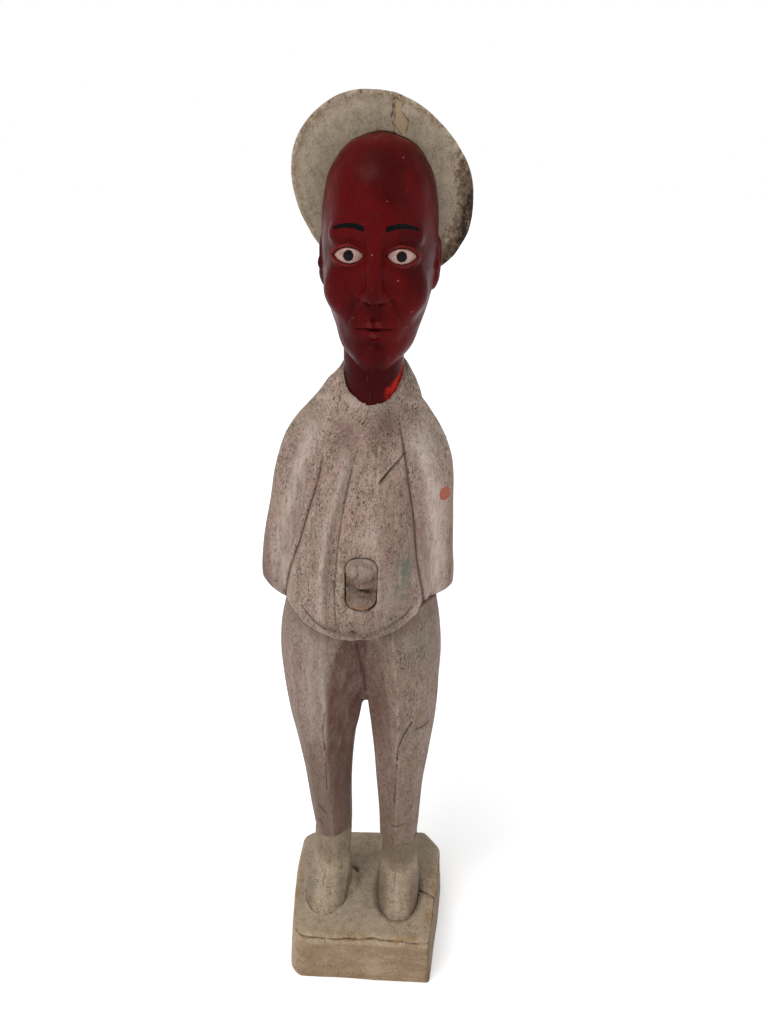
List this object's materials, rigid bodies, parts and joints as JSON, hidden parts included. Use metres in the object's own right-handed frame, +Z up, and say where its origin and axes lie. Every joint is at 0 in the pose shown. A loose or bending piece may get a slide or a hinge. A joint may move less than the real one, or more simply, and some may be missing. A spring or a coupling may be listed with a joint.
{
  "type": "carved standing figure",
  "caption": "Carved and painted wooden figure in a tunic and trousers, with a broad hat pushed back, hands behind its back, standing on a block base.",
  "frame": {"origin": "on the base block's underside, between the feet", "axes": "+Z up, the figure looks towards -Y, its left hand is on the +X side"},
  "size_m": [0.1142, 0.094, 0.5222],
  "materials": {
    "base_paint": "worn matt paint over wood",
    "cloth_paint": "worn matt paint over wood",
    "head_enamel": "glossy dark red enamel over wood",
    "hat_paint": "stained off-white paint over wood",
    "eye_white": "semi-gloss white paint",
    "pupil_black": "glossy black paint",
    "bare_wood": "bare wood"
  },
  "bodies": {
    "root": {"base_block": "base_paint", "right_shoe": "base_paint", "left_shoe": "base_paint", "trousers": "cloth_paint", "tunic": "cloth_paint", "right_arm": "cloth_paint", "left_arm": "cloth_paint", "belly_emblem": "cloth_paint", "head": "head_enamel", "hat": "hat_paint", "right_eye": "eye_white", "left_eye": "eye_white", "right_pupil": "pupil_black", "left_pupil": "pupil_black", "waist_dowel": "bare_wood", "neck_dowel": "bare_wood", "hat_dowel": "bare_wood", "right_leg_dowel": "bare_wood", "left_leg_dowel": "bare_wood", "right_arm_dowels": "bare_wood", "left_arm_dowels": "bare_wood"}
  },
  "joints": []
}
